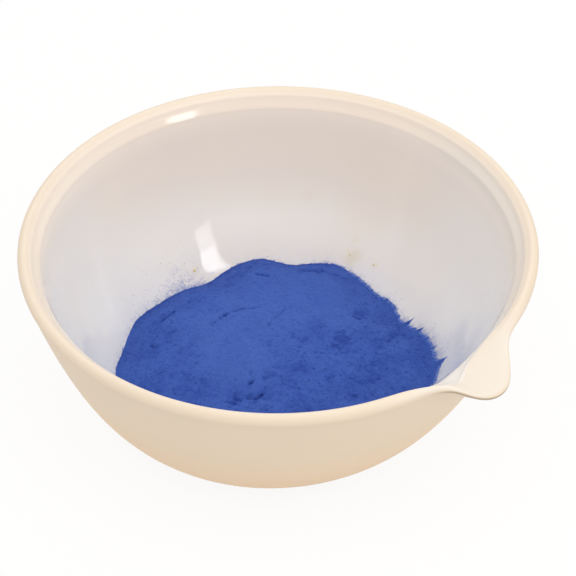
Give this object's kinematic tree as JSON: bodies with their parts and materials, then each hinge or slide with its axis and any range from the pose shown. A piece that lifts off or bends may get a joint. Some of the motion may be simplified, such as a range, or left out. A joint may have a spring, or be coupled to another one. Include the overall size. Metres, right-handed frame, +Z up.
{
  "type": "evaporating dish",
  "caption": "Glazed porcelain evaporating dish with a rounded rim and a drawn pouring spout, holding a heap of blue powder that lifts out.",
  "frame": {"origin": "centre of the flat foot's underside, on the axis of the turned bowl", "axes": "+Z up along the bowl's axis, +X towards the pouring spout, XZ the plane of symmetry of the dish"},
  "size_m": [0.1118, 0.1032, 0.041],
  "materials": {
    "porcelain": "smooth clear glaze over off-white porcelain, creamier on the rim and outside, greyer inside, flat unglazed foot",
    "powder": "fine dull cohesive blue powder, pressed smooth in places and crumbled in others"
  },
  "bodies": {
    "dish_body": {"dish": "porcelain"},
    "powder_body": {"powder_heap": "powder"}
  },
  "joints": [
    {"name": "powder_lift", "type": "slide", "parent": "dish_body", "child": "powder_body", "axis": [0, 0, 1], "range_m": [0, 0.045]}
  ]
}
